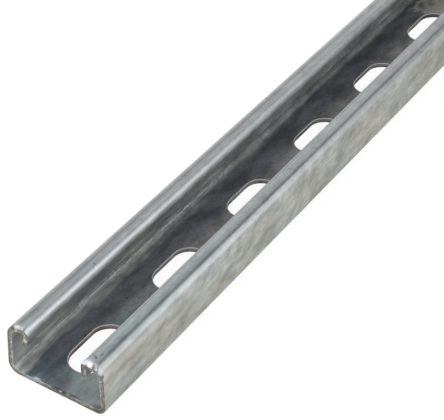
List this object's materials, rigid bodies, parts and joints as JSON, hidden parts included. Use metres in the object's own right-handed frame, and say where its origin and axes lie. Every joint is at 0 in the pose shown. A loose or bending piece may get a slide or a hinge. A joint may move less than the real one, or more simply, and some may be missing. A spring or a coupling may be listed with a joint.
{
  "type": "slotted strut channel",
  "caption": "Shallow C-section strut channel with inturned lips and a row of bolt slots along its back, in galvanised steel.",
  "frame": {"origin": "under the middle of the bar, at the centre of its box's underside, on the face of the back that it lies on", "axes": "+X along the bar, with the first slot at the -X end; +Y across it; +Z out of the mouth"},
  "size_m": [1, 0.041, 0.021],
  "materials": {
    "galvanised_steel": "zinc coated, dull to satin"
  },
  "bodies": {
    "root": {"strut_channel": "galvanised_steel"}
  },
  "joints": []
}
